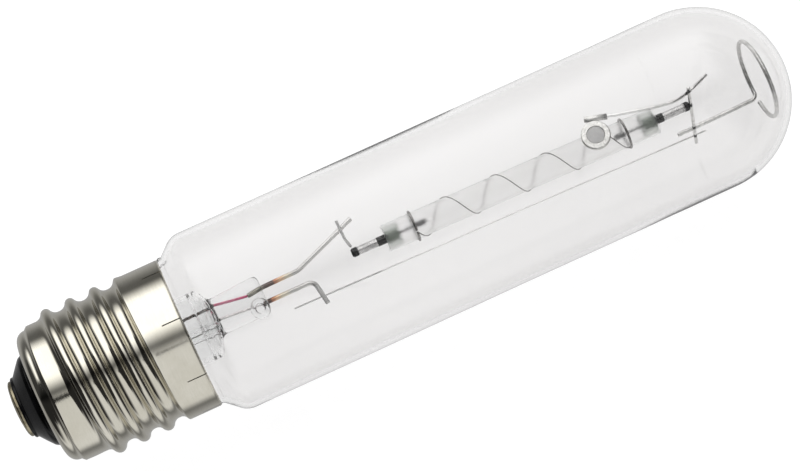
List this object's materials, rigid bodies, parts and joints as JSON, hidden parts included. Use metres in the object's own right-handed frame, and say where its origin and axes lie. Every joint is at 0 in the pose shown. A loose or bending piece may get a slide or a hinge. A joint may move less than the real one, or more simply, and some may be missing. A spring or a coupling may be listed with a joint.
{
  "type": "tubular high-pressure sodium grow lamp",
  "caption": "Clear tubular discharge lamp for greenhouse lighting, with a large screw cap, a ceramic arc tube on a wire mount and a getter ring.",
  "frame": {"origin": "centre of the cap's contact face, on the lamp axis", "axes": "+X runs along the lamp axis from the contact to the glass dome; the lead wires and the arc tube lie about the XY plane with the arc tube's lead on the +Y side; +Z completes the frame and points up when the lamp lies as pictured from above"},
  "size_m": [0.205, 0.0462, 0.0462],
  "materials": {
    "nickel_plate": "nickel-plated rolled brass sheet, satin bright",
    "black_glass": null,
    "contact_brass": "bare brass, satin",
    "solder": null,
    "clear_glass": "clear hard borosilicate glass, polished",
    "stem_glass": "clear pressed stem glass",
    "lead_copper": null,
    "seal_wire": "red-brown oxidised sealing wire",
    "lead_rod": "nickel-plated iron rod, heat tinted near the glass",
    "support_wire": "nickel-plated iron wire, satin",
    "alumina": null,
    "plug_ceramic": "sintered alumina plug, matte",
    "sealing_frit": "dark sealing frit, matte",
    "niobium": "grey niobium tube, satin",
    "tungsten": "tungsten with emitter coating, dark",
    "amalgam": "sodium amalgam, silvery",
    "starting_wire": "thin refractory wire, dull grey",
    "getter_steel": "nickel-plated steel strip, bright",
    "getter_alloy": "pressed getter alloy powder, matte grey"
  },
  "bodies": {
    "root": {"cap_shell": "nickel_plate", "cap_insulator": "black_glass", "contact_plate": "contact_brass", "contact_solder": "solder", "rim_solder": "solder", "outer_bulb": "clear_glass", "stem_glass": "stem_glass", "exhaust_tube": "stem_glass", "lead_wire_centre": "lead_copper", "lead_wire_side": "lead_copper", "seal_wire_arc": "seal_wire", "seal_wire_return": "seal_wire", "lead_rod_arc": "lead_rod", "lead_rod_return": "lead_rod", "cross_wire_base": "support_wire", "cross_wire_dome": "support_wire", "return_wire": "support_wire", "dome_spring": "support_wire", "arc_tube": "alumina", "end_plug_base": "plug_ceramic", "end_plug_dome": "plug_ceramic", "sealing_frit_base": "sealing_frit", "sealing_frit_dome": "sealing_frit", "feedthrough_base": "niobium", "feedthrough_dome": "niobium", "weld_collar_base": "niobium", "weld_collar_dome": "niobium", "electrode_base": "tungsten", "electrode_dome": "tungsten", "electrode_coil_base": "tungsten", "electrode_coil_dome": "tungsten", "amalgam_dose": "amalgam", "starting_antenna": "starting_wire", "getter_ring": "getter_steel", "getter_fill": "getter_alloy", "getter_strip": "getter_steel", "getter_wire": "support_wire"}
  },
  "joints": []
}
